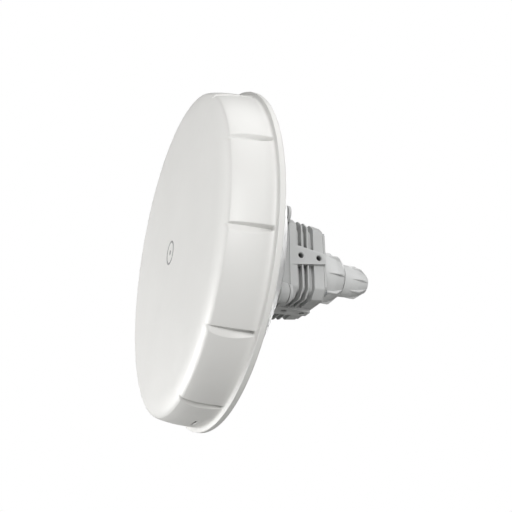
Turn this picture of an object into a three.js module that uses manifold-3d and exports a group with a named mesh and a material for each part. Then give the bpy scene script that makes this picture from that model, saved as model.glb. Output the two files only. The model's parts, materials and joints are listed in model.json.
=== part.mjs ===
// Outdoor point-to-point radio: a small parabolic reflector under a round radome, with a finned
// radio housing and a two-stage waterproof cable gland on its back.
// Millimetres, +Z up. The beam leaves along -Y, so every turned piece is a lathe about Y.
// Stations are Y distances from the plane where the radome's skirt flares into its flange.
// The whole group is shifted at the end so that the origin lies midway between the bracket screws.
import * as THREE from "three";
import { mergeVertices } from "three/addons/utils/BufferGeometryUtils.js";
import Module from "manifold-3d";

const wasm = await Module();
wasm.setup();

// ---- driving dimensions ----
const GAP = 0.3; // clearance kept between touching pieces
const RIM_RADIUS = 101.5;
const ORIGIN_STATION = 54.6; // midway between the two screws of a bracket pad

const RADOME_DEPTH = 24.4; // flare to the middle of the face
const RADOME_WALL = 2.6;
const FACE_RADIUS = 92.9;
const SKIRT_RADIUS = 98.5;
const FLANGE_BACK = 4.9;
const SEAT_STATION = 2.6; // the radome's seat on the reflector's rim, inside the flange's lip
const NOTCH_COUNT = 12;
const NOTCH_PHASE = THREE.MathUtils.degToRad(15.9);
const NOTCH_RADIUS = 2.6; // at its wide end, near the flange
const NOTCH_FRONT = -23;
const NOTCH_BACK = 0.9;
const NOTCH_SLOPE = 0.194; // radians between the notch's own axis and the beam
const NOTCH_MIDDLE_RADIUS = 96.65; // distance from the beam to the middle of the notch's axis
const DRAIN_STATION = -5.8;
const GASKET_GROOVE = [96.2, 97.6]; // radii of the groove in the radome's seat

const DISH_RADIUS = 99.5;
const BOWL_RADIUS = 93; // a flat rim reaches from here to the dish radius
const DISH_BACK = 38.2; // station of the dish's back at its axis
const DISH_RIM_BACK = 4.6;
const DISH_RIM_WALL = 1.7;
const DISH_WALL = 2.7;
const HUB_RADIUS = 21;
const FEED_HOLE_RADIUS = 12.3;
const BOSS_PLACE = 25.6;
const BOSS_RADIUS = 6;
const SCREW_HOLE = 1.7; // radius of the holes that take the housing and cover screws

const EAR_RADIUS = 5.6;
const EAR_BACK = 40.7;
const HOUSING_FRONT = DISH_BACK + 0.7;
const NECK_HALF = 25.6; // the block's foot, which follows the dish's back
const BLOCK_FRONT = 41.2;
const BLOCK_FRONT_HALF = 26.45; // the block is cast with draft and gets narrower towards the back
const BLOCK_BACK_HALF = 24;
const HOUSING_CHAMFER = 5.7;
const HOUSING_BACK = 64.8;
const CAVITY_HALF = 17.8;
const CAVITY_CORNER = 8;
const CAVITY_FRONT = 44.5;
const SLOT_BOTTOM_HALF = 21;
const SLOTS = [[46.2, 49.4], [50.4, 53.2], [54.2, 57.8]]; // stations of the three cooling slots
const PAD_FACE = 26.5; // the bracket pads stay parallel to the axis, proud of the drafted block
const PAD_FRONT_HALF = 6.9;
const PAD_BACK_HALF = 3.3;
const BRACKET_SCREW_SPACING = 12;
const BRACKET_HOLE_RADIUS = 1.75;

const COVER_HALF = 23.8;
const COVER_CHAMFER = 6.8;
const COVER_THICKNESS = 1.4;
const COVER_BACK = HOUSING_BACK + GAP + COVER_THICKNESS;
const COVER_SCREW_PLACE = 18.6;
const SPIGOT_RADIUS = 13.2;
const SPIGOT_BORE = 9.6;
const SPIGOT_END = 76;

const COLLAR_RADIUS = 16.9;
const COLLAR_FRONT = 67.2;
const COLLAR_BACK = 86.8;
const PLUG_BORE = 7.8; // lets a modular network plug through
const SLEEVE_END = 97.4;
const CAP_RADIUS = 10.9;
const CAP_FRONT = 87.2;
const CAP_BACK = 106.5;
const CABLE_BORE = 3.3;
const GRIP_COUNT = 8;
const GRIP_PHASE = THREE.MathUtils.degToRad(-10.5);
const RIB_THICKNESS = 1.2;

// ---- materials ----
const paint = (color, roughness, metalness = 0) =>
  new THREE.MeshStandardMaterial({ color, roughness, metalness });
const LOOK = {
  radome: paint(0xe6e5e1, 0.5),
  casting: paint(0xc4c5c4, 0.55, 0.1),
  gland: paint(0xc9cac9, 0.5),
  cover: paint(0xbfc0bf, 0.55, 0.1),
  metal: paint(0xb9bbbd, 0.3, 0.9),
  steel: paint(0xa9abad, 0.3, 1),
  rubber: paint(0x202122, 0.85),
  board: paint(0x1f5a36, 0.5),
  plastic: paint(0x1b1c1e, 0.5),
  dielectric: paint(0xe9e6dc, 0.4),
  thermal: paint(0x8fa3b5, 0.8),
};

// ---- solids ----
function toSolid(geometry) {
  const bare = geometry.index ? geometry.toNonIndexed() : geometry.clone();
  bare.deleteAttribute("normal");
  bare.deleteAttribute("uv");
  const merged = mergeVertices(bare, 1e-4);
  const triangles = [];
  for (let i = 0; i < merged.index.count; i += 3) {
    const [a, b, c] = [0, 1, 2].map((k) => merged.index.getX(i + k));
    if (a !== b && b !== c && c !== a) triangles.push(a, b, c);
  }
  const mesh = new wasm.Mesh({
    numProp: 3,
    vertProperties: merged.attributes.position.array,
    triVerts: new Uint32Array(triangles),
  });
  return new wasm.Manifold(mesh);
}

function toGeometry(solid) {
  const mesh = solid.getMesh();
  const geometry = new THREE.BufferGeometry();
  geometry.setAttribute("position", new THREE.BufferAttribute(mesh.vertProperties, 3));
  geometry.setIndex(new THREE.BufferAttribute(mesh.triVerts, 1));
  geometry.computeVertexNormals();
  return geometry;
}

const join = (first, ...others) => others.reduce((sum, other) => sum.add(other), first);
const cut = (first, ...others) => others.reduce((rest, other) => rest.subtract(other), first);

// A turned piece about Y. The profile is a list of [radius, station], counterclockwise.
function turned(profile, segments = 40) {
  const points = profile.map(([radius, station]) => new THREE.Vector2(radius, station));
  const onAxis = profile[0][0] === 0;
  if (!onAxis) points.push(points[0].clone());
  return toSolid(new THREE.LatheGeometry(points, segments));
}

const ring = (inner, outer, from, to, segments = 32) =>
  turned([[inner, from], [outer, from], [outer, to], [inner, to]], segments);

// A straight post along Y at (x, z).
function post(radius, from, to, x = 0, z = 0, sides = 16) {
  const shape = new THREE.CylinderGeometry(radius, radius, to - from, sides);
  return toSolid(shape.translate(x, (from + to) / 2, z));
}

// A block of the given full sizes, centred on x and z and running along Y.
function block(width, height, from, to, x = 0, z = 0) {
  const shape = new THREE.BoxGeometry(width, to - from, height);
  return toSolid(shape.translate(x, (from + to) / 2, z));
}

function roundedSquare(half, radius, steps = 3) {
  const shape = new THREE.Shape();
  for (let corner = 0; corner < 4; corner++) {
    const middle = new THREE.Vector2(half - radius, half - radius);
    middle.rotateAround(new THREE.Vector2(), (corner * Math.PI) / 2);
    for (let step = 0; step <= steps; step++) {
      const angle = ((corner + step / steps) * Math.PI) / 2;
      const x = middle.x + radius * Math.cos(angle);
      const y = middle.y + radius * Math.sin(angle);
      if (corner || step) shape.lineTo(x, y);
      else shape.moveTo(x, y);
    }
  }
  return shape;
}

// A flat shape pushed along Y from one station to another.
function pushed(shape, from, to) {
  const solid = new THREE.ExtrudeGeometry(shape, { depth: to - from, bevelEnabled: false });
  return toSolid(solid.rotateX(-Math.PI / 2).translate(0, from, 0));
}

const squareBlock = (half, radius, from, to) => pushed(roundedSquare(half, radius), from, to);

// A flat shape pushed along Y that shrinks towards its far end by the given share.
function tapered(shape, from, to, share) {
  const solid = new THREE.ExtrudeGeometry(shape, { depth: to - from, bevelEnabled: false });
  solid.rotateX(-Math.PI / 2);
  const place = solid.attributes.position;
  for (let i = 0; i < place.count; i++) {
    const scale = 1 - (1 - share) * (place.getY(i) / (to - from));
    place.setX(i, place.getX(i) * scale);
    place.setZ(i, place.getZ(i) * scale);
  }
  return toSolid(solid.translate(0, from, 0));
}

// The housing's outline: a square with chamfered corners, the chamfer's ends slightly eased.
function chamferedSquare(half, chamfer) {
  const flat = half - chamfer;
  const ease = chamfer * 0.18;
  const quarter = [
    [half, flat - ease], [half - ease * 0.4, flat + ease * 0.6],
    [flat + ease * 0.6, half - ease * 0.4], [flat - ease, half],
  ];
  const outline = [0, 1, 2, 3].flatMap((corner) => quarter.map(([x, y]) =>
    new THREE.Vector2(x, y).rotateAround(new THREE.Vector2(), (corner * Math.PI) / 2)));
  return new THREE.Shape(outline);
}

// Calls make(x, z, index) at the four corners (+-place, +-place).
function atCorners(place, make) {
  const corners = [[1, 1], [-1, 1], [-1, -1], [1, -1]];
  return corners.map(([x, z], index) => make(x * place, z * place, index + 1));
}

// Copies of a geometry turned about Y.
function around(count, phase, geometry) {
  return Array.from({ length: count }, (_, k) =>
    toSolid(geometry.clone().rotateY(-(phase + (k * 2 * Math.PI) / count))));
}

const group = new THREE.Group();
function piece(name, solid, look) {
  const mesh = new THREE.Mesh(toGeometry(solid), LOOK[look].clone());
  mesh.name = name;
  group.add(mesh);
  return mesh;
}

// ---- radome ----
// Outer skirt: an elliptic shoulder from the face edge to the full skirt radius.
function skirtPoint(angle) {
  const swell = (SKIRT_RADIUS - FACE_RADIUS) / Math.sin(1.25);
  return [FACE_RADIUS + swell * Math.sin(angle), 1 - RADOME_DEPTH + 30 * (1 - Math.cos(angle))];
}

function radome() {
  const shoulder = [0, 0.2, 0.4, 0.6, 0.8, 1].map(skirtPoint);
  const shell = turned([
    [0, -RADOME_DEPTH],
    [50, -RADOME_DEPTH + 0.3],
    ...shoulder,
    [SKIRT_RADIUS, 0.4],
    [SKIRT_RADIUS + 0.4, 1],
    [SKIRT_RADIUS + 1.7, 1.3],
    [RIM_RADIUS - 0.3, 1.6],
    [RIM_RADIUS, 2.1],
    [RIM_RADIUS, 3.4],
    [RIM_RADIUS - 0.6, FLANGE_BACK],
    [DISH_RADIUS + GAP, FLANGE_BACK],
    [DISH_RADIUS + GAP, SEAT_STATION],
    [GASKET_GROOVE[1], SEAT_STATION],
    [GASKET_GROOVE[1], SEAT_STATION - 0.8],
    [GASKET_GROOVE[0], SEAT_STATION - 0.8],
    [GASKET_GROOVE[0], SEAT_STATION],
    [95.2, SEAT_STATION],
    [95.2, -6],
    [94.4, -14],
    [92.4, -19],
    [89.5, -RADOME_DEPTH + 1 + RADOME_WALL],
    [0, -RADOME_DEPTH + RADOME_WALL],
  ], 60);
  // Each notch is a cone laid along the skirt, its point towards the face.
  const cone = new THREE.CylinderGeometry(NOTCH_RADIUS, 0.05, NOTCH_BACK - NOTCH_FRONT, 10);
  cone.rotateZ(-NOTCH_SLOPE).translate(NOTCH_MIDDLE_RADIUS, (NOTCH_FRONT + NOTCH_BACK) / 2, 0);
  return cut(shell, ...around(NOTCH_COUNT, NOTCH_PHASE, cone), drainSlot());
}

// A shallow drain recess at the lowest point of the skirt.
function drainSlot() {
  const slot = new THREE.BoxGeometry(9.6, 1.6, 4);
  return toSolid(slot.translate(0, DRAIN_STATION, -SKIRT_RADIUS));
}

function rimGasket() {
  const [inner, outer] = GASKET_GROOVE;
  return ring(inner + GAP, outer - GAP, SEAT_STATION - 0.7, SEAT_STATION + 0.15, 44);
}

// ---- reflector ----
const dishBack = (radius) =>
  DISH_RIM_BACK + (DISH_BACK - DISH_RIM_BACK) * (1 - (radius / BOWL_RADIUS) ** 2);

function reflector() {
  const backRadii = [BOWL_RADIUS, 84, 73, 61, 48, 34, HUB_RADIUS];
  const frontRadii = [FEED_HOLE_RADIUS, 30, 48, 64, 79, BOWL_RADIUS];
  const bowl = turned([
    [DISH_RADIUS, DISH_RIM_BACK - DISH_RIM_WALL],
    [DISH_RADIUS, DISH_RIM_BACK],
    ...backRadii.map((radius) => [radius, dishBack(radius)]),
    [HUB_RADIUS, DISH_BACK],
    [FEED_HOLE_RADIUS, DISH_BACK],
    ...frontRadii.map((radius) => [radius, dishBack(radius) - DISH_WALL]),
    [94.6, DISH_RIM_BACK - DISH_RIM_WALL],
  ], 60);
  const bossBack = HOUSING_FRONT - GAP;
  const bosses = atCorners(BOSS_PLACE, (x, z) => post(BOSS_RADIUS, 31.6, bossBack, x, z, 20));
  const holes = atCorners(BOSS_PLACE, (x, z) => post(SCREW_HOLE, 33.2, bossBack + 1, x, z, 10));
  return cut(join(bowl, ...bosses), ...holes);
}

// ---- feed ----
function subreflector() {
  const curve = [22.4, 17, 12, 7, 0].map((r) => [r, -12.6 - 4.6 * (r / 22.4) ** 2]);
  return turned([[0, -20.6], [25, -20.6], [25, -17.6], [22.6, -17.6], ...curve], 28);
}

function subreflectorSupport() {
  return turned([
    [20, 31.9], [20, 33.1], [15.4, 33.1], [15.4, 31.9], [16.4, 30.9], [22.9, -17.2],
    [24.6, -17.2], [17.6, 30.9], [18.4, 31.9],
  ], 28);
}

function feedHorn() {
  return turned([
    [9.4, 27], [10, 27], [10, 28], [5.6, 36], [5.6, CAVITY_FRONT + GAP], [9, CAVITY_FRONT + GAP],
    [9, 46.2], [2, 46.2], [2, 38],
  ], 20);
}

const hornCap = () =>
  turned([[0, 25.4], [11, 25.4], [11, 28.6], [10.4, 28.6], [10.4, 26.6], [0, 26.6]], 20);

// ---- housing ----
// The bracket pad is a tapered land across the fins, the same on each of the four sides.
function bracketPads() {
  const outline = new THREE.Shape();
  outline.moveTo(-PAD_FRONT_HALF, BLOCK_FRONT);
  outline.lineTo(PAD_FRONT_HALF, BLOCK_FRONT);
  outline.lineTo(PAD_BACK_HALF, HOUSING_BACK);
  outline.lineTo(-PAD_BACK_HALF, HOUSING_BACK);
  const land = new THREE.ExtrudeGeometry(outline, { depth: PAD_FACE, bevelEnabled: false });
  return around(4, 0, land);
}

// The foot of the housing, cut to the shape of the dish and clear of its bosses.
function neck() {
  const blank = pushed(chamferedSquare(NECK_HALF, HOUSING_CHAMFER), 30, BLOCK_FRONT + 1);
  const surface = [48, 40, 33, 27, HUB_RADIUS + 0.6].map((r) => [r, dishBack(r) + 0.5]);
  const dish = turned([[0, 20], [48, 20], ...surface, [HUB_RADIUS + 0.6, HOUSING_FRONT],
    [0, HOUSING_FRONT]], 48);
  const bosses = atCorners(BOSS_PLACE, (x, z) =>
    post(BOSS_RADIUS + GAP + 0.1, 20, HOUSING_FRONT, x, z, 20));
  return cut(blank, dish, ...bosses);
}

function housing() {
  const share = BLOCK_BACK_HALF / BLOCK_FRONT_HALF;
  const outline = chamferedSquare(BLOCK_FRONT_HALF, HOUSING_CHAMFER);
  const finned = tapered(outline, BLOCK_FRONT, HOUSING_BACK, share);
  const ears = atCorners(BOSS_PLACE, (x, z) => post(EAR_RADIUS, HOUSING_FRONT, EAR_BACK, x, z, 20));
  const pads = bracketPads();
  const core = squareBlock(SLOT_BOTTOM_HALF, 4, 40, 70);
  const slots = SLOTS.map(([from, to]) =>
    cut(squareBlock(PAD_FACE + 3, 2, from, to), core, ...pads));
  const cavity = squareBlock(CAVITY_HALF, CAVITY_CORNER, CAVITY_FRONT, HOUSING_BACK + 1);
  const feedWay = post(5.9, HOUSING_FRONT - 1, CAVITY_FRONT + 1, 0, 0, 28);
  const gasketGroove = ring(17, 19, HOUSING_FRONT - 1, HOUSING_FRONT + 1);
  const earHoles = atCorners(BOSS_PLACE, (x, z) => post(SCREW_HOLE, HOUSING_FRONT - 1, 42, x, z, 10));
  const coverHoles = atCorners(COVER_SCREW_PLACE, (x, z) => post(SCREW_HOLE, 59.2, 67, x, z, 10));
  return cut(join(finned, neck(), ...ears, ...pads), ...slots, cavity, feedWay, gasketGroove,
    ...earHoles, ...coverHoles, ...bracketHoles());
}

// Tapped holes in the pads, each with a small countersink.
function bracketHoles() {
  const bore = new THREE.CylinderGeometry(BRACKET_HOLE_RADIUS, BRACKET_HOLE_RADIUS, 6, 12);
  bore.rotateZ(Math.PI / 2).translate(PAD_FACE - 2, ORIGIN_STATION, 0);
  const mouth = new THREE.CylinderGeometry(BRACKET_HOLE_RADIUS, BRACKET_HOLE_RADIUS + 0.9, 0.9, 12);
  mouth.rotateZ(Math.PI / 2).translate(PAD_FACE, ORIGIN_STATION, 0);
  const half = BRACKET_SCREW_SPACING / 2;
  return [-half, half].flatMap((along) => [bore, mouth].flatMap((tool) =>
    around(4, 0, tool.clone().translate(0, along, 0))));
}

const housingGasket = () => ring(17.3, 18.7, DISH_BACK + GAP, HOUSING_FRONT + 0.7);

// A pan-head screw along Y with its head towards +Y and a hexagon socket in it.
function screw(x, z, tip, seat, headRadius, shankRadius = 1.35, headHeight = 2) {
  const head = post(headRadius, seat, seat + headHeight, x, z, 14);
  const shank = post(shankRadius, tip, seat + 0.5, x, z, 8);
  const socket = post(headRadius * 0.5, seat + headHeight / 2, seat + headHeight + 1, x, z, 6);
  return cut(join(head, shank), socket);
}

// ---- electronics ----
const BOARD_HALF = 17.2;
const BOARD_CORNER = 7.6;
const SPACER_PLACE = 12.3;
const RF_BOARD = [46.6, 48.2];
const MAIN_BOARD = [54.4, 56];

function boardWithHoles([from, to]) {
  const holes = atCorners(SPACER_PLACE, (x, z) => post(1.6, from - 1, to + 1, x, z, 10));
  return cut(squareBlock(BOARD_HALF, BOARD_CORNER, from, to), ...holes);
}

function rfShield() {
  const from = RF_BOARD[1] + GAP;
  return cut(block(17, 17, from, from + 3.4), block(16, 16, from - 1, from + 2.8));
}

function spacer(x, z) {
  const from = RF_BOARD[1] + GAP;
  const to = MAIN_BOARD[0] - GAP;
  return cut(post(2.4, from, to, x, z, 6), post(1.5, from + 0.5, to + 1, x, z, 10));
}

function ethernetJack() {
  const from = MAIN_BOARD[1] + GAP;
  const shell = block(16, 13.4, from, HOUSING_BACK - 0.2);
  return cut(shell, block(12, 8.6, from + 1.4, 67), block(5, 3, from + 4, 67, 0, -5));
}

const lanTransformer = () => block(12, 5, MAIN_BOARD[1] + GAP, 61.6, 0, 10.4);

// ---- rear cover and cable gland ----
function rearCover() {
  const from = HOUSING_BACK + GAP;
  const plate = pushed(chamferedSquare(COVER_HALF, COVER_CHAMFER), from, COVER_BACK);
  const spigot = post(SPIGOT_RADIUS, from, SPIGOT_END, 0, 0, 36);
  const groove = cut(squareBlock(19.8, 10, from - 1, from + 0.6), squareBlock(18.4, 9.4, 60, 80));
  const holes = atCorners(COVER_SCREW_PLACE, (x, z) => post(SCREW_HOLE, 60, 70, x, z, 10));
  return cut(join(plate, spigot), post(SPIGOT_BORE, 60, 80, 0, 0, 36), groove, ...holes);
}

function coverGasket() {
  const from = HOUSING_BACK + 0.15;
  return cut(squareBlock(19.5, 9.8, from, from + 0.6), squareBlock(18.7, 9.5, 60, 80));
}

const portSeal = () => ring(10.4, 12, SPIGOT_END + GAP, SPIGOT_END + 1.1);

function glandBody() {
  const flange = SPIGOT_END + 1.4;
  return turned([
    [PLUG_BORE, flange], [12.9, flange], [12.9, flange + 1.8], [9, flange + 1.8],
    [9, SLEEVE_END - 2], [8.3, SLEEVE_END], [PLUG_BORE, SLEEVE_END],
  ], 32);
}

// Grip ribs round a nut: thin webs that stand out where the nut's wall draws in towards the back.
function gripRibs(profile) {
  const side = new THREE.Shape(profile.map(([radius, station]) => new THREE.Vector2(radius, station)));
  const web = new THREE.ExtrudeGeometry(side, { depth: RIB_THICKNESS, bevelEnabled: false });
  return around(GRIP_COUNT, GRIP_PHASE, web.translate(0, 0, -RIB_THICKNESS / 2));
}

function collar() {
  const shell = turned([
    [13.5, COLLAR_FRONT], [15.8, COLLAR_FRONT], [16.4, COLLAR_FRONT + 1],
    [15.9, 75], [15.2, 78.6], [14.2, 81.6], [12.9, 84.4], [11.6, COLLAR_BACK],
    [9.3, COLLAR_BACK], [9.3, 79.6], [13.5, 79.6],
  ], 40);
  const ribs = gripRibs([[14, 71.5], [COLLAR_RADIUS - 0.6, 71.5], [COLLAR_RADIUS, 76.5],
    [COLLAR_RADIUS - 0.1, 80.8], [12.5, 85.9], [11, 85.9], [11, 80.2], [14, 79.7]]);
  return join(shell, ...ribs);
}

function capNut() {
  const shell = turned([
    [9.3, CAP_FRONT], [10.4, CAP_FRONT], [10.6, CAP_FRONT + 0.6], [10.4, 92.5], [10, 96.5],
    [9.2, 99.5], [8, 102.6], [6.9, 105.2], [6.2, CAP_BACK], [4.4, CAP_BACK], [4.4, 103.8],
    [6.2, 102.6], [8.7, 98.2], [9.3, 96],
  ], 36);
  const ribs = gripRibs([[9.7, 91.5], [CAP_RADIUS - 0.3, 91.5], [CAP_RADIUS, 96],
    [CAP_RADIUS - 0.2, 99.7], [7.4, 104.9], [6.8, 104.9], [9.6, 97.2]]);
  return join(shell, ...ribs);
}

// The claw squeezes the seal: a ring with fingers that the cap nut's cone bends inwards.
function clampClaw() {
  const barrel = ring(6.6, 7.5, 86.2, 99.4, 24);
  const slits = around(4, 0, new THREE.BoxGeometry(40, 10.4, 1.1).translate(0, 95.8, 0));
  return cut(barrel, ...slits.slice(0, 2));
}

const cableSeal = () =>
  turned([[CABLE_BORE, 88.8], [6.2, 88.8], [6.2, 98.6], [5.2, 99.4], [CABLE_BORE, 99.4]], 24);

// ---- assembly ----
piece("radome", radome(), "radome");
piece("rim_gasket", rimGasket(), "rubber");
piece("reflector", reflector(), "casting");
piece("subreflector", subreflector(), "metal");
piece("subreflector_support", subreflectorSupport(), "dielectric");
piece("feed_horn", feedHorn(), "metal");
piece("horn_cap", hornCap(), "dielectric");
piece("housing", housing(), "casting");
piece("housing_gasket", housingGasket(), "rubber");
piece("thermal_pad", ring(10, 15.6, CAVITY_FRONT + GAP, 46.3, 28), "thermal");
piece("rf_board", boardWithHoles(RF_BOARD), "board");
piece("rf_shield", rfShield(), "steel");
piece("main_board", boardWithHoles(MAIN_BOARD), "board");
piece("ethernet_jack", ethernetJack(), "steel");
piece("lan_transformer", lanTransformer(), "plastic");
piece("rear_cover", rearCover(), "cover");
piece("cover_gasket", coverGasket(), "rubber");
piece("port_seal", portSeal(), "rubber");
piece("gland_body", glandBody(), "gland");
piece("collar", collar(), "gland");
piece("clamp_claw", clampClaw(), "plastic");
piece("cable_seal", cableSeal(), "rubber");
piece("cap_nut", capNut(), "gland");
atCorners(BOSS_PLACE, (x, z, n) =>
  piece("housing_screw_" + n, screw(x, z, 34, EAR_BACK + 0.2, 2.5, 1.35, 1.5), "steel"));
atCorners(COVER_SCREW_PLACE, (x, z, n) =>
  piece("cover_screw_" + n, screw(x, z, 60, COVER_BACK + 0.2, 2.3, 1.35, 1.7), "steel"));
atCorners(SPACER_PLACE, (x, z, n) => {
  piece("board_spacer_" + n, spacer(x, z), "steel");
  piece("board_screw_" + n, screw(x, z, 50, 56.3, 2.4, 1.2, 1.4), "steel");
});

group.children.forEach((mesh) => mesh.geometry.translate(0, -ORIGIN_STATION, 0));

export default group;
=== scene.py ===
"""Looks of an outdoor dish radio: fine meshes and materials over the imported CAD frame.

Profiles are in millimetres. A station is the distance along Y from the plane where the radome's
skirt flares into its flange; the beam leaves along -Y.
"""
import json
import math

import bmesh
import bpy
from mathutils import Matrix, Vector


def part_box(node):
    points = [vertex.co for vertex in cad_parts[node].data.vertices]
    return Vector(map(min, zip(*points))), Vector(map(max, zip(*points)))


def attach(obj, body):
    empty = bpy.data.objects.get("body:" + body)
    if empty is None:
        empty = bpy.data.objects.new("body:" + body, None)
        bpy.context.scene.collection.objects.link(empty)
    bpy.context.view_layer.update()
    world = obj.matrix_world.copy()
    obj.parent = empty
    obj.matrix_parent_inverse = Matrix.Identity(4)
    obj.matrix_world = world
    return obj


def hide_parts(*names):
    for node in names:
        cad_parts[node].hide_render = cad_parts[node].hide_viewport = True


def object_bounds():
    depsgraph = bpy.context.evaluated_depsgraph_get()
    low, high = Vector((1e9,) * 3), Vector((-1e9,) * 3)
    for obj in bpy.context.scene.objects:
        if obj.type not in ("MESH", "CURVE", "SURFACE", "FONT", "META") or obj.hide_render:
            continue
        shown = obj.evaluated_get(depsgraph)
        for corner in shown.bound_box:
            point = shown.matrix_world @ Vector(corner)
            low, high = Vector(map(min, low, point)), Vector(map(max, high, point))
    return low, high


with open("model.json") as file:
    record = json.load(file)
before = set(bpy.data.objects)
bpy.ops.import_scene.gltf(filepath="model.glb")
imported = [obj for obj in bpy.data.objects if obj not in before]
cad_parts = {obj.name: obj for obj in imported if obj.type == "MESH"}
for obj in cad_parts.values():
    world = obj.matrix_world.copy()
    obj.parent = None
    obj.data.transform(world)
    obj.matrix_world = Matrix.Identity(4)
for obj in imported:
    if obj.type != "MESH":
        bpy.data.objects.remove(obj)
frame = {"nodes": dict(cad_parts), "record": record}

CAD_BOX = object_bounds()
MM = 0.001
RADOME_DEPTH = 24.4
RIM_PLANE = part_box("radome")[0].y / MM + RADOME_DEPTH  # station 0 in the frame, in millimetres
GRIPS = 8
GRIP_PHASE = math.radians(-10.5)
BOSS_PLACE = sum(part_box("housing_screw_1")[i].x for i in (0, 1)) / 2 / MM
COVER_SCREW_PLACE = sum(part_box("cover_screw_1")[i].x for i in (0, 1)) / 2 / MM
CORNERS = [(1, 1), (-1, 1), (-1, -1), (1, -1)]


# ---------------------------------------------------------------- materials
def new_material(name, color, roughness, metallic=0.0):
    material = bpy.data.materials.new(name)
    material.use_nodes = True
    shader = material.node_tree.nodes["Principled BSDF"]
    shader.inputs["Base Color"].default_value = (*color, 1)
    shader.inputs["Roughness"].default_value = roughness
    shader.inputs["Metallic"].default_value = metallic
    return material, material.node_tree, shader


def node(tree, kind, **settings):
    made = tree.nodes.new(kind)
    for key, value in settings.items():
        setattr(made, key, value)
    return made


def noise(tree, scale, detail=4.0, stretch=(1, 1, 1)):
    """Noise in object space, with its scale in waves per metre."""
    coords = node(tree, "ShaderNodeTexCoord")
    mapping = node(tree, "ShaderNodeMapping")
    mapping.inputs["Scale"].default_value = stretch
    texture = node(tree, "ShaderNodeTexNoise")
    texture.inputs["Scale"].default_value = scale
    texture.inputs["Detail"].default_value = detail
    tree.links.new(coords.outputs["Object"], mapping.inputs["Vector"])
    tree.links.new(mapping.outputs["Vector"], texture.inputs["Vector"])
    return texture.outputs["Fac"]


def remap(tree, value, low, high, start=0.3, end=0.7):
    mapped = node(tree, "ShaderNodeMapRange")
    mapped.inputs["From Min"].default_value = start
    mapped.inputs["From Max"].default_value = end
    mapped.inputs["To Min"].default_value = low
    mapped.inputs["To Max"].default_value = high
    tree.links.new(value, mapped.inputs["Value"])
    return mapped.outputs["Result"]


def mix_color(tree, factor, first, second):
    """Mixes two colours; each is a plain colour or the output of another node."""
    mix = node(tree, "ShaderNodeMix", data_type="RGBA")
    tree.links.new(factor, mix.inputs["Factor"])
    for socket, color in ((mix.inputs["A"], first), (mix.inputs["B"], second)):
        if isinstance(color, tuple):
            socket.default_value = (*color, 1)
        else:
            tree.links.new(color, socket)
    return mix.outputs["Result"]


def worn_edges(tree, start=0.53, end=0.6):
    """Grows from 0 to 1 on outward edges."""
    geometry = node(tree, "ShaderNodeNewGeometry")
    return remap(tree, geometry.outputs["Pointiness"], 0, 1, start, end)


def painted_hollow_shade(tree, base, color, reach=0.005, in_groove=0.85):
    """Paints shade into the base colour by ambient occlusion: a little painted shade in grooves and
    joints, and near-black painted shade deep inside holes.
    """
    hidden = node(tree, "ShaderNodeAmbientOcclusion", samples=8)
    hidden.inputs["Distance"].default_value = reach
    groove = remap(tree, hidden.outputs["AO"], 0, 1, 0.2, 0.75)
    base = mix_color(tree, groove, shade(color, in_groove), base)
    deep = remap(tree, hidden.outputs["AO"], 0, 1, 0.08, 0.25)
    return mix_color(tree, deep, shade(color, 0.03), base)


def add_bump(tree, shader, layers):
    """Stacks bump layers, each (height output, strength, depth in metres)."""
    normal = None
    for height, strength, depth in layers:
        bump = node(tree, "ShaderNodeBump")
        bump.inputs["Strength"].default_value = strength
        bump.inputs["Distance"].default_value = depth
        tree.links.new(height, bump.inputs["Height"])
        if normal:
            tree.links.new(normal, bump.inputs["Normal"])
        normal = bump.outputs["Normal"]
    tree.links.new(normal, shader.inputs["Normal"])


def shade(color, factor):
    return tuple(channel * factor for channel in color)


def moulded_plastic(name, color, roughness, grain=2600, edge=1.05, grain_depth=0.00003,
                    reach=0.0025):
    """Satin moulded plastic: cloudy colour, fine spark-eroded grain, edges rubbed lighter, and painted
    shade in its grooves and holes.
    """
    material, tree, shader = new_material(name, color, roughness)
    clouds = remap(tree, noise(tree, 18), 0, 1)
    base = mix_color(tree, clouds, shade(color, 0.975), shade(color, 1.015))
    base = mix_color(tree, worn_edges(tree), base, shade(color, edge))
    # Painted shade: ambient occlusion darkens the colour in grooves, joints and holes.
    base = painted_hollow_shade(tree, base, color, reach, 0.66)
    tree.links.new(base, shader.inputs["Base Color"])
    tree.links.new(remap(tree, noise(tree, 140), roughness - 0.05, roughness + 0.06),
                   shader.inputs["Roughness"])
    add_bump(tree, shader, [(noise(tree, grain, 3), 0.35, grain_depth),
                            (noise(tree, 60, 2), 0.08, 0.0001)])
    return material


def powder_coat(name, color, roughness=0.5):
    """Powder coat on a casting: orange peel, faint speckle, thin paint along the edges, and painted
    shade in its grooves and holes.
    """
    material, tree, shader = new_material(name, color, roughness)
    clouds = remap(tree, noise(tree, 30), 0, 1)
    base = mix_color(tree, clouds, shade(color, 0.96), shade(color, 1.03))
    speckle = remap(tree, noise(tree, 3800, 1), 0, 1, 0.62, 0.75)
    base = mix_color(tree, speckle, base, shade(color, 0.86))
    base = mix_color(tree, worn_edges(tree), base, shade(color, 1.12))
    # Painted shade: ambient occlusion darkens the colour in grooves, joints and holes.
    base = painted_hollow_shade(tree, base, color)
    tree.links.new(base, shader.inputs["Base Color"])
    tree.links.new(remap(tree, noise(tree, 220), roughness - 0.06, roughness + 0.08),
                   shader.inputs["Roughness"])
    shader.inputs["Coat Weight"].default_value = 0.08
    shader.inputs["Coat Roughness"].default_value = 0.35
    add_bump(tree, shader, [(noise(tree, 1100, 2), 0.3, 0.00008),
                            (noise(tree, 4200, 2), 0.25, 0.00003)])
    return material


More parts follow.
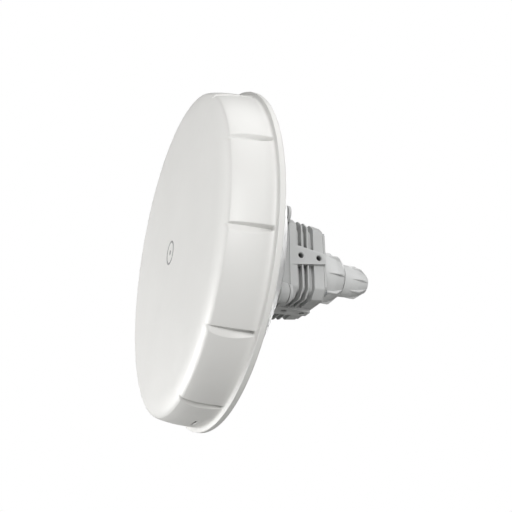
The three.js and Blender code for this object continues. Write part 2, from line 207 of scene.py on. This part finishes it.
def bare_metal(name, color, roughness, stretch=(1, 14, 1)):
    """Machined or brushed metal: streaks along one axis and smudged roughness."""
    material, tree, shader = new_material(name, color, roughness, 1.0)
    streaks = noise(tree, 900, 3, stretch)
    base = mix_color(tree, remap(tree, streaks, 0, 1), shade(color, 0.88), shade(color, 1.08))
    tree.links.new(base, shader.inputs["Base Color"])
    tree.links.new(remap(tree, noise(tree, 90), roughness - 0.07, roughness + 0.1),
                   shader.inputs["Roughness"])
    add_bump(tree, shader, [(streaks, 0.2, 0.00002)])
    return material


def rubber(name="rubber"):
    """Matt silicone rubber with a dusty bloom."""
    color = (0.022, 0.022, 0.024)
    material, tree, shader = new_material(name, color, 0.75)
    bloom = remap(tree, noise(tree, 70, 6), 0, 1, 0.4, 0.75)
    tree.links.new(mix_color(tree, bloom, color, (0.05, 0.05, 0.052)),
                   shader.inputs["Base Color"])
    tree.links.new(remap(tree, noise(tree, 300), 0.65, 0.85), shader.inputs["Roughness"])
    shader.inputs["Sheen Weight"].default_value = 0.15
    add_bump(tree, shader, [(noise(tree, 2400, 3), 0.3, 0.00004)])
    return material


def circuit_board(name="circuit_board"):
    """Green solder mask over copper fill, with cloudy depth from the fill's pattern."""
    dark, light = (0.008, 0.07, 0.025), (0.016, 0.13, 0.045)
    material, tree, shader = new_material(name, light, 0.3)
    cells = node(tree, "ShaderNodeTexVoronoi", distance="CHEBYCHEV")
    cells.inputs["Scale"].default_value = 420
    coords = node(tree, "ShaderNodeTexCoord")
    tree.links.new(coords.outputs["Object"], cells.inputs["Vector"])
    fill = remap(tree, cells.outputs["Distance"], 0, 1, 0.25, 0.35)
    tree.links.new(mix_color(tree, fill, light, dark), shader.inputs["Base Color"])
    tree.links.new(remap(tree, noise(tree, 200), 0.25, 0.4), shader.inputs["Roughness"])
    add_bump(tree, shader, [(fill, 0.3, 0.00003)])
    return material


MATERIALS = {
    # Each reach sets how far the painted shade in hollows spreads.
    "radome_plastic": moulded_plastic("radome_plastic", (0.76, 0.755, 0.735), 0.44, edge=1.02,
                                      reach=0.005),
    "casting_paint": powder_coat("casting_paint", (0.49, 0.495, 0.49)),
    "gland_plastic": moulded_plastic("gland_plastic", (0.64, 0.645, 0.64), 0.46, edge=1.06),
    "bare_aluminium": bare_metal("bare_aluminium", (0.72, 0.73, 0.74), 0.32),
    "steel": bare_metal("steel", (0.5, 0.51, 0.52), 0.34),
    "rubber": rubber(),
    "circuit_board": circuit_board(),
    "dark_plastic": moulded_plastic("dark_plastic", (0.03, 0.031, 0.034), 0.5),
    "dielectric": moulded_plastic("dielectric", (0.74, 0.72, 0.66), 0.38),
    "thermal_gel": moulded_plastic("thermal_gel", (0.25, 0.33, 0.42), 0.7),
}
MARK_GREY = moulded_plastic("mark_grey", (0.3, 0.3, 0.3), 0.5)


# ---------------------------------------------------------------- mesh building
def curve(start, corner, end, steps):
    """Points of the parabola that leaves start towards the corner and arrives at end from it."""
    start, corner, end = Vector(start), Vector(corner), Vector(end)
    shares = [step / steps for step in range(steps + 1)]
    return [tuple(start * (1 - t) ** 2 + corner * 2 * t * (1 - t) + end * t * t) for t in shares]


def filleted(corners, steps=6):
    """A polyline from (radius, station, fillet) corners, each fillet made of an arc's points."""
    points = []
    for index, (r, y, fillet) in enumerate(corners):
        here = Vector((r, y))
        if not fillet:
            points.append((r, y))
            continue
        before = Vector(corners[index - 1][:2]) - here
        after = Vector(corners[(index + 1) % len(corners)][:2]) - here
        half = before.angle(after) / 2
        reach = min(fillet / math.tan(half), before.length * 0.49, after.length * 0.49)
        points += curve(here + before.normalized() * reach, here,
                        here + after.normalized() * reach, steps)
    return points


def densified(points, longest, first=0, last=None):
    """Adds points along the polyline so that no segment between first and last is too long."""
    last = len(points) - 1 if last is None else last
    dense = list(points[:first])
    for a, b in zip(points[first:last], points[first + 1:last + 1]):
        count = max(1, math.ceil(math.dist(a, b) / longest))
        dense += [(a[0] + (b[0] - a[0]) * i / count, a[1] + (b[1] - a[1]) * i / count)
                  for i in range(count)]
    return dense + list(points[last:])


def even_angles(count):
    return [2 * math.pi * i / count for i in range(count)]


def feature_angles(centres, half_width, fine, coarse_step):
    """Angles round the axis, close together near each feature and wide apart between them."""
    angles = []
    ordered = sorted(centre % (2 * math.pi) for centre in centres)
    for centre, following in zip(ordered, ordered[1:] + [ordered[0] + 2 * math.pi]):
        angles += [centre + half_width * (2 * i / fine - 1) for i in range(fine + 1)]
        start, end = centre + half_width, following - half_width
        count = max(1, round((end - start) / coarse_step))
        angles += [start + (end - start) * i / count for i in range(1, count)]
    return angles


def revolved(name, rows, angles, offset=None, centre=(0, 0), closed=True):
    """A mesh turned about Y from (radius, station) rows. A row on the axis becomes one point.

    offset(angle, radius, station, row) moves a point outwards. The last row joins the first one
    when the profile is closed.
    """
    verts, loops = [], []
    for index, (radius, station) in enumerate(rows):
        y = (RIM_PLANE + station) * MM
        if radius < 1e-6:
            loops.append([len(verts)])
            verts.append((centre[0] * MM, y, centre[1] * MM))
            continue
        loops.append(list(range(len(verts), len(verts) + len(angles))))
        for angle in angles:
            r = radius + (offset(angle, radius, station, index) if offset else 0)
            verts.append(((centre[0] + r * math.cos(angle)) * MM, y,
                          (centre[1] + r * math.sin(angle)) * MM))
    faces = []
    pairs = list(zip(loops, loops[1:]))
    if closed:
        pairs.append((loops[-1], loops[0]))
    for low, high in pairs:
        for i in range(len(angles)):
            j = (i + 1) % len(angles)
            corners = [low[i % len(low)], low[j % len(low)], high[j % len(high)],
                       high[i % len(high)]]
            corners = list(dict.fromkeys(corners))
            if len(corners) > 2:
                faces.append(corners)
    return mesh_object(name, verts, faces)


def mesh_object(name, verts, faces):
    mesh = bpy.data.meshes.new(name)
    mesh.from_pydata(verts, [], faces)
    made = bmesh.new()
    made.from_mesh(mesh)
    bmesh.ops.recalc_face_normals(made, faces=made.faces)
    made.to_mesh(mesh)
    made.free()
    mesh.shade_smooth()
    piece = bpy.data.objects.new(name, mesh)
    bpy.context.scene.collection.objects.link(piece)
    return piece


def joined(name, pieces):
    """Several meshes as one object, each staying its own shell."""
    made = bmesh.new()
    for piece in pieces:
        made.from_mesh(piece.data)
        bpy.data.objects.remove(piece)
    mesh = bpy.data.meshes.new(name)
    made.to_mesh(mesh)
    made.free()
    whole = bpy.data.objects.new(name, mesh)
    bpy.context.scene.collection.objects.link(whole)
    return whole


def bevelled(piece, width, segments=3, angle=32):
    bevel = piece.modifiers.new("bevel", "BEVEL")
    bevel.width = width * MM
    bevel.segments = segments
    bevel.limit_method = "ANGLE"
    bevel.angle_limit = math.radians(angle)
    bevel.miter_outer = "MITER_ARC"
    bevel.harden_normals = False
    return piece


def smooth_by_area(piece):
    """Face-area weighted normals, so that flats stay flat between their rounded edges."""
    weighted = piece.modifiers.new("weighted", "WEIGHTED_NORMAL")
    weighted.keep_sharp = True
    return piece


def finish_piece(piece, node_name, slot, body="root"):
    """Gives a piece its material and its body, and lets it stand for the CAD node."""
    piece.data.materials.clear()
    piece.data.materials.append(MATERIALS[slot])
    smooth_by_area(piece)
    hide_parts(node_name)
    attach(piece, body)
    return piece


def smoothstep(low, high, value):
    t = min(1, max(0, (value - low) / (high - low)))
    return t * t * (3 - 2 * t)


def turned_back(angle, centre):
    """The signed turn from a feature's centre, between -180 and 180 degrees, in radians."""
    return (angle - centre + math.pi) % (2 * math.pi) - math.pi


# ---------------------------------------------------------------- radome
FACE_STATION = -RADOME_DEPTH
FACE_RADIUS = 92.9
SKIRT_RADIUS = 98.5
RIM_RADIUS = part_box("radome")[1].x / MM
FLANGE_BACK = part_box("radome")[1].y / MM - RIM_PLANE
NOTCHES = 12
NOTCH_PITCH = 2 * math.pi / NOTCHES
NOTCH_PHASE = math.radians(15.9)
NOTCH_FRONT = -23.6
NOTCH_BACK = 0.8
DRAIN_STATION = -5.8
SHOULDER_DEPTH = 30
SHOULDER_TURN = 1.25


def skirt_profile():
    """The radome's outer and inner outlines, from the middle of the face to the flange and back."""
    swell = (SKIRT_RADIUS - FACE_RADIUS) / math.sin(SHOULDER_TURN)
    shoulder = [(FACE_RADIUS + swell * math.sin(t / 10),
                 FACE_STATION + 1 + SHOULDER_DEPTH * (1 - math.cos(t / 10))) for t in range(4, 13)]
    face = [(r, FACE_STATION + 0.75 * (r / FACE_RADIUS) ** 4) for r in range(0, 88, 6)]
    crease = curve(face[-1], (93.1, FACE_STATION + 0.9), shoulder[0], 12)[1:-1]
    flange = filleted([(SKIRT_RADIUS, -1.4, 0), (SKIRT_RADIUS + 0.3, 0.9, 3), (RIM_RADIUS, 1.5, 0.5),
                       (RIM_RADIUS, 4.1, 0.5), (RIM_RADIUS - 0.5, FLANGE_BACK, 0.3)], 10)
    outer = face + crease + shoulder + flange
    inner = [(99.8, FLANGE_BACK), (99.8, 2.6), (97.6, 2.6), (97.6, 1.8), (96.2, 1.8), (96.2, 2.6),
             (95.2, 2.6), (95.2, -6), (94.4, -14), (92.4, -19), (89.5, FACE_STATION + 3.6),
             (60, FACE_STATION + 2.9), (0, FACE_STATION + 2.6)]
    return outer, inner


def notch_depth(angle, radius, station):
    """Each notch is a V with a steep upper wall and a wide lower one, ending near the flange."""
    run = (station - NOTCH_FRONT) / (NOTCH_BACK - NOTCH_FRONT)
    if not 0 < run < 1:
        return 0
    upper_width = 0.5 + 1.5 * run ** 0.6
    lower_width = 0.6 + 3.2 * math.sin(math.pi * run ** 0.8) ** 0.8
    depth = (smoothstep(0, 0.12, run) + 2 * run) * (1 - smoothstep(0.965, 1, run))
    nearest = NOTCH_PHASE + round((angle - NOTCH_PHASE) / NOTCH_PITCH) * NOTCH_PITCH
    across = turned_back(angle, nearest) * radius
    share = across / upper_width if across > 0 else -across / lower_width
    return depth * (1 - share) if share < 1 else 0


def drain_depth(angle, radius, station):
    along = abs(turned_back(angle, -math.pi / 2)) * radius
    across = abs(station - DRAIN_STATION)
    return 2.9 * (1 - smoothstep(4.5, 4.8, along)) * (1 - smoothstep(0.6, 0.8, across))


def make_radome():
    outer, inner = skirt_profile()
    first_skirt = next(i for i, (r, _) in enumerate(outer) if r > 90)
    outer = densified(outer, 0.45, first_skirt, len(outer) - 1)
    drained = [i for i, (r, y) in enumerate(outer) if r > 97 and abs(y - DRAIN_STATION) < 1.5]
    outer = densified(outer, 0.12, drained[0], drained[-1])
    rows = outer + inner

    def offset(angle, radius, station, row):
        if row >= len(outer) or radius < 91:
            return 0
        return -notch_depth(angle, radius, station) - drain_depth(angle, radius, station)

    features = [NOTCH_PHASE + k * NOTCH_PITCH for k in range(NOTCHES)] + [-math.pi / 2]
    angles = feature_angles(features, math.radians(2.9), 36, math.radians(0.9))
    piece = revolved("radome_shell", rows, angles, offset, closed=False)
    return finish_piece(piece, "radome", "radome_plastic")


def make_face_mark():
    """A plain aiming ring with a centre dot on the radome's face."""
    front = FACE_STATION - 0.12
    back = FACE_STATION + 0.3
    ring = revolved("ring", [(6.1, back), (6.1, front), (7.3, front), (7.3, back)], even_angles(96))
    dot = revolved("dot", [(0, front), (1.5, front), (1.5, back), (0, back)], even_angles(48),
                   closed=False)
    mark = joined("aiming_ring", [ring, dot])
    mark.data.materials.append(MARK_GREY)
    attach(mark, "root")


# ---------------------------------------------------------------- reflector
DISH_RADIUS = 99.5
BOWL_RADIUS = 93
DISH_BACK = 38.2
DISH_RIM_BACK = 4.6
DISH_RIM_WALL = 1.7
DISH_WALL = 2.7
HUB_RADIUS = 21
FEED_HOLE_RADIUS = 12.3
BOSS_RADIUS = 6
BOSS_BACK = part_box("reflector")[1].y / MM - RIM_PLANE


def dish_back(radius):
    return DISH_RIM_BACK + (DISH_BACK - DISH_RIM_BACK) * (1 - (radius / BOWL_RADIUS) ** 2)


def make_reflector():
    rim = filleted([(DISH_RADIUS, DISH_RIM_BACK - DISH_RIM_WALL, 0.3), (DISH_RADIUS, DISH_RIM_BACK, 0.5),
                    (BOWL_RADIUS, DISH_RIM_BACK, 4)])
    back = [(r, dish_back(r)) for r in range(90, HUB_RADIUS + 1, -3)]
    hub = filleted([(HUB_RADIUS + 0.9, dish_back(HUB_RADIUS + 0.9), 0),
                    (HUB_RADIUS, DISH_BACK - 1.2, 0.8), (HUB_RADIUS, DISH_BACK, 0.4),
                    (FEED_HOLE_RADIUS, DISH_BACK, 0.4)])
    front = [(r, dish_back(r) - DISH_WALL) for r in (FEED_HOLE_RADIUS, *range(16, 93, 4), BOWL_RADIUS)]
    front.append((94.6, DISH_RIM_BACK - DISH_RIM_WALL))
    bowl = revolved("bowl", rim + back + hub + front, even_angles(256))
    bosses = [make_boss(x * BOSS_PLACE, z * BOSS_PLACE) for x, z in CORNERS]
    piece = joined("reflector_dish", [bowl, *bosses])
    return finish_piece(piece, "reflector", "casting_paint")


def make_boss(x, z):
    """A screw boss with a soft flare where it grows out of the dish."""
    profile = filleted([(0, 31.6, 0), (BOSS_RADIUS + 1.6, 31.6, 0), (BOSS_RADIUS + 0.2, 34, 2),
                        (BOSS_RADIUS, BOSS_BACK, 1), (2.1, BOSS_BACK, 0.3), (1.7, BOSS_BACK - 0.5, 0),
                        (1.7, 33.2, 0), (0, 33.2, 0)])
    return revolved("boss", profile, even_angles(64), centre=(x, z), closed=False)


# ---------------------------------------------------------------- castings from the CAD shapes
def softened_copy(node_name, name, width, body="root", slot="casting_paint", angle=32):
    """The CAD node's own shape with its flat faces merged and its edges rounded."""
    source = frame["nodes"][node_name]
    mesh = source.data.copy()
    made = bmesh.new()
    made.from_mesh(mesh)
    bmesh.ops.remove_doubles(made, verts=made.verts, dist=2e-6)
    bmesh.ops.dissolve_limit(made, angle_limit=math.radians(0.6), verts=made.verts, edges=made.edges)
    made.to_mesh(mesh)
    made.free()
    mesh.shade_smooth()
    mesh.set_sharp_from_angle(angle=math.radians(angle))
    piece = bpy.data.objects.new(name, mesh)
    bpy.context.scene.collection.objects.link(piece)
    bevelled(piece, width, angle=angle)
    return finish_piece(piece, node_name, slot, body)


def make_housing():
    return softened_copy("housing", "housing_casting", 0.35)


# ---------------------------------------------------------------- cable gland
def rib_share(angle, half_thickness, radius):
    """1 on the crest of the nearest grip rib, falling to 0 at its foot."""
    pitch = 2 * math.pi / GRIPS
    nearest = GRIP_PHASE + round((angle - GRIP_PHASE) / pitch) * pitch
    across = abs(turned_back(angle, nearest)) * radius
    return 1 - smoothstep(half_thickness * 0.45, half_thickness, across)


def nut(name, outer, inner, ribs, rib_half):
    """A turned nut with grip ribs. ribs(station) is the radius that a rib's crest reaches."""
    outer = densified(outer, 0.4)
    centres = [GRIP_PHASE + k * 2 * math.pi / GRIPS for k in range(GRIPS)]
    reach = rib_half / outer[len(outer) // 2][0]
    angles = feature_angles(centres, reach * 1.3, 14, math.radians(3.5))

    def offset(angle, radius, station, row):
        if row >= len(outer):
            return 0
        return max(0, ribs(station) - radius) * rib_share(angle, rib_half, radius)

    return revolved(name, outer + inner, angles, offset)


def polyline(points):
    """A function that reads the second coordinate off a list of points by the first."""
    def read(x):
        if not points[0][0] <= x <= points[-1][0]:
            return 0
        for (x0, y0), (x1, y1) in zip(points, points[1:]):
            if x <= x1:
                return y0 + (y1 - y0) * (x - x0) / (x1 - x0)
        return points[-1][1]
    return read


def make_collar():
    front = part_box("collar")[0].y / MM - RIM_PLANE
    outer = filleted([(13.5, front, 0.3), (16.4, front, 0.8), (16, 74, 6), (15.2, 79, 5),
                      (13.1, 84.2, 4), (11.6, 86.8, 0.5)])
    inner = [(9.3, 86.8), (9.3, 79.6), (13.5, 79.6)]
    crest = polyline([(71.5, 16), (75, 16.7), (80.7, 16.85), (81.5, 16.4), (86.2, 12)])
    piece = nut("collar_nut", outer, inner, crest, 0.75)
    return finish_piece(piece, "collar", "gland_plastic", "collar")


def make_cap_nut():
    front, back = (corner.y / MM - RIM_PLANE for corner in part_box("cap_nut"))
    outer = filleted([(9.3, front, 0.2), (10.6, front, 0.5), (10.4, 93, 5), (9.8, 97.6, 4),
                      (8, 102.6, 3), (6.2, back, 0.8), (4.4, back, 0.4)])
    inner = [(4.4, 103.8), (6.2, 102.6), (8.7, 98.2), (9.3, 96)]
    crest = polyline([(91.5, 10.4), (95, 10.8), (99.4, 10.85), (100.2, 10.4), (105.2, 6.9)])
    piece = nut("cap_nut_shell", outer, inner, crest, 0.65)
    return finish_piece(piece, "cap_nut", "gland_plastic", "cap")


def thread_offset(pitch, depth, start, end):
    """A right-hand V thread that fades out at both ends of its run."""
    def offset(angle, radius, station, row):
        wave = abs(((station / pitch - angle / (2 * math.pi)) % 1) * 2 - 1)
        fade_in = smoothstep(start, start + pitch / 2, station)
        fade_out = 1 - smoothstep(end - pitch / 2, end, station)
        return -depth * fade_in * fade_out * (1 - smoothstep(0.15, 0.85, wave))
    return offset


def make_gland_body():
    front, back = (corner.y / MM - RIM_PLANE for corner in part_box("gland_body"))
    shoulder = front + 1.8
    rows = densified(filleted([(7.8, front, 0.3), (12.9, front, 0.3), (12.9, shoulder, 0.3),
                               (9, shoulder, 0.4), (9, back - 2, 0.4), (8.3, back, 0.3),
                               (7.8, back, 0.2)]), 0.25)
    thread = thread_offset(1.5, 0.45, 88, back - 2.2)

    def offset(angle, radius, station, row):
        return thread(angle, radius, station, row) if radius > 8.9 and station > shoulder else 0

    piece = revolved("gland_sleeve", rows, even_angles(96), offset)
    return finish_piece(piece, "gland_body", "gland_plastic", "gland")


COVER_THICKNESS = 1.4
COVER_CHAMFER = 6.8
SPIGOT_RADIUS = 13.2
SPIGOT_BORE = 9.6


def make_rear_cover():
    """The cover plate with its threaded spigot."""
    low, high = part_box("rear_cover")
    front, end, half = low.y / MM - RIM_PLANE, high.y / MM - RIM_PLANE, high.x / MM
    back = front + COVER_THICKNESS
    flat = half - COVER_CHAMFER
    square = [(half, -flat), (half, flat), (flat, half), (-flat, half), (-half, flat), (-half, -flat),
              (-flat, -half), (flat, -half)]
    verts = [(x * MM, (RIM_PLANE + y) * MM, z * MM) for y in (front, back) for x, z in square]
    count = len(square)
    faces = [tuple(range(count)), tuple(range(2 * count - 1, count - 1, -1))]
    faces += [(i, (i + 1) % count, count + (i + 1) % count, count + i) for i in range(count)]
    plate = mesh_object("cover_plate", verts, faces)
    bore = revolved("bore", [(0, 60), (9.7, 60), (9.7, 80), (0, 80)], even_angles(96), closed=False)
    with_hole = plate.modifiers.new("bore", "BOOLEAN")
    with_hole.object = bore
    with_hole.solver = "EXACT"
    bevelled(plate, 0.3)
    settle(plate)
    bpy.data.objects.remove(bore)
    rows = densified(filleted([(SPIGOT_BORE, back - 1.2, 0), (SPIGOT_RADIUS + 0.7, back - 1.2, 0),
                               (SPIGOT_RADIUS + 0.7, back, 0), (SPIGOT_RADIUS, back + 0.8, 0.5),
                               (SPIGOT_RADIUS, end, 0.4), (SPIGOT_BORE, end, 0.4)]), 0.3)
    thread = thread_offset(3, 0.8, back + 1, end - 0.2)

    def offset(angle, radius, station, row):
        return thread(angle, radius, station, row) if radius > SPIGOT_RADIUS - 0.7 else 0

    spigot = revolved("spigot", rows, even_angles(120), offset)
    piece = joined("cover_with_spigot", [plate, spigot])
    return finish_piece(piece, "rear_cover", "casting_paint")


def settle(piece):
    """Applies the piece's modifiers to its mesh."""
    graph = bpy.context.evaluated_depsgraph_get()
    mesh = bpy.data.meshes.new_from_object(piece.evaluated_get(graph))
    piece.modifiers.clear()
    piece.data = mesh


def make_claw_and_seal():
    softened_copy("clamp_claw", "claw_ring", 0.15, "claw", "dark_plastic")
    front, back = (corner.y / MM - RIM_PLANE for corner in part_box("cable_seal"))
    rows = filleted([(3.3, front, 0.4), (6.2, front, 0.4), (6.2, back - 0.8, 0.4), (5.2, back, 0.3),
                     (3.3, back, 0.5)])
    seal = revolved("seal_bung", rows, even_angles(72))
    finish_piece(seal, "cable_seal", "rubber", "claw")


# ---------------------------------------------------------------- screws
# Head height and shank radius of each kind of screw.
SCREW_SIZES = {"housing_screw": (1.5, 1.35), "cover_screw": (1.7, 1.35), "board_screw": (1.4, 1.2)}


def make_screw(node_name, body="root"):
    """A pan-head screw with a hexagon socket, at its CAD node's place."""
    low, high = (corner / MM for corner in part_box(node_name))
    centre = ((low.x + high.x) / 2, (low.z + high.z) / 2)
    head_radius = (high.x - low.x) / 2
    tip, top = low.y - RIM_PLANE, high.y - RIM_PLANE
    head, shank = SCREW_SIZES[node_name.rsplit("_", 1)[0]]
    seat = top - head
    socket = head_radius * 0.5

    def hexagon(angle, radius, station, row):
        if row < socket_row:
            return 0
        turn = (angle % (math.pi / 3)) - math.pi / 6
        return radius * (math.cos(math.pi / 6) / math.cos(turn) - 1)

    outside = filleted([(0, tip, 0), (shank * 0.6, tip, 0.2), (shank, tip + 0.6, 0.2), (shank, seat, 0),
                        (head_radius, seat, 0.15), (head_radius, top - 0.6, 0.5),
                        (head_radius * 0.8, top, 0.6)], 5)
    socket_row = len(outside)
    rows = outside + [(socket * 1.12, top), (socket, top - 0.15), (socket, top - head * 0.55),
                      (0, top - head * 0.65)]
    piece = revolved(node_name + "_fine", rows, even_angles(48), hexagon, centre, closed=False)
    return finish_piece(piece, node_name, "steel", body)


# ---------------------------------------------------------------- hidden pieces
def dress_cad_nodes():
    """Every CAD node still shown gets its slot's material, and keeps its sharp edges."""
    for entry in frame["record"]["subparts"]:
        shown = frame["nodes"][entry["node"]]
        if shown.hide_render:
            continue
        shown.data.materials.clear()
        shown.data.materials.append(MATERIALS[entry["material_slot"]])
        shown.data.shade_smooth()
        shown.data.set_sharp_from_angle(angle=math.radians(30))


# ---------------------------------------------------------------- stage
FLOOR_DROP = 0.6
FLOOR_REACH = 6


def make_stage():
    height = CAD_BOX[0].z - FLOOR_DROP
    mesh = bpy.data.meshes.new("floor")
    corners = [(x * FLOOR_REACH, y * FLOOR_REACH, height)
               for x, y in ((-1, -1), (1, -1), (1, 1), (-1, 1))]
    mesh.from_pydata(corners, [], [(0, 1, 2, 3)])
    floor = bpy.data.objects.new("floor", mesh)
    bpy.context.scene.collection.objects.link(floor)
    material, tree, shader = new_material("floor_paper", (0.5, 0.5, 0.49), 0.8)
    # The paper glows softly to the camera, as a backlit sweep does, without lighting the object.
    path = node(tree, "ShaderNodeLightPath")
    shader.inputs["Emission Color"].default_value = (0.98, 0.98, 1, 1)
    tree.links.new(remap(tree, path.outputs["Is Camera Ray"], 0, 0.72, 0, 1),
                   shader.inputs["Emission Strength"])
    floor.data.materials.append(material)


def area_light(name, place, target, size, power):
    light = bpy.data.lights.new(name, "AREA")
    light.shape = "DISK"
    light.size = size
    light.energy = power
    lamp = bpy.data.objects.new(name, light)
    lamp.location = place
    lamp.rotation_euler = (Vector(target) - Vector(place)).to_track_quat("-Z", "Y").to_euler()
    bpy.context.scene.collection.objects.link(lamp)


def make_lights():
    middle = (CAD_BOX[0] + CAD_BOX[1]) / 2
    area_light("top_softbox", (0.3, 0.05, 0.95), middle, 0.7, 3.1)
    area_light("right_softbox", (0.95, -0.35, 0.06), middle, 0.6, 7.6)
    area_light("back_softbox", (0.5, 0.8, 0.3), middle, 0.5, 2.7)
    area_light("back_left_softbox", (-0.8, 0.9, 0.5), middle, 0.8, 10)
    area_light("front_left_softbox", (-0.65, -0.88, -0.2), middle, 0.6, 11.5)


def make_world():
    """A white surround that lights the object only a little."""
    world = bpy.data.worlds.new("studio")
    world.use_nodes = True
    tree = world.node_tree
    background = tree.nodes["Background"]
    background.inputs["Color"].default_value = (1, 1, 1, 1)
    path = node(tree, "ShaderNodeLightPath")
    tree.links.new(remap(tree, path.outputs["Is Camera Ray"], 0.07, 1, 0, 1),
                   background.inputs["Strength"])
    bpy.context.scene.world = world
    bpy.context.scene.view_settings.view_transform = "Standard"


VIEW_AZIMUTH = math.radians(67.75)
VIEW_ELEVATION = math.radians(-24.38)
VIEW_DISTANCE = 0.4198
VIEW_LENS = 48.97
VIEW_AIM = Vector((0.0114, -0.0289, 0.0018))


def make_camera():
    away = Vector((math.sin(VIEW_AZIMUTH) * math.cos(VIEW_ELEVATION),
                   -math.cos(VIEW_AZIMUTH) * math.cos(VIEW_ELEVATION), math.sin(VIEW_ELEVATION)))
    camera = bpy.data.objects.new("camera", bpy.data.cameras.new("camera"))
    camera.data.lens = VIEW_LENS
    camera.data.sensor_width = 36
    camera.data.clip_start = 0.01
    camera.location = VIEW_AIM + away * VIEW_DISTANCE
    camera.rotation_euler = (-away).to_track_quat("-Z", "Y").to_euler()
    bpy.context.scene.collection.objects.link(camera)
    bpy.context.scene.camera = camera


make_radome()
make_face_mark()
make_reflector()
make_housing()
make_rear_cover()
make_collar()
make_cap_nut()
make_gland_body()
make_claw_and_seal()
for corner in range(1, 5):
    make_screw(f"housing_screw_{corner}")
    make_screw(f"cover_screw_{corner}")
    make_screw(f"board_screw_{corner}")
dress_cad_nodes()
make_stage()
make_lights()
make_world()
make_camera()
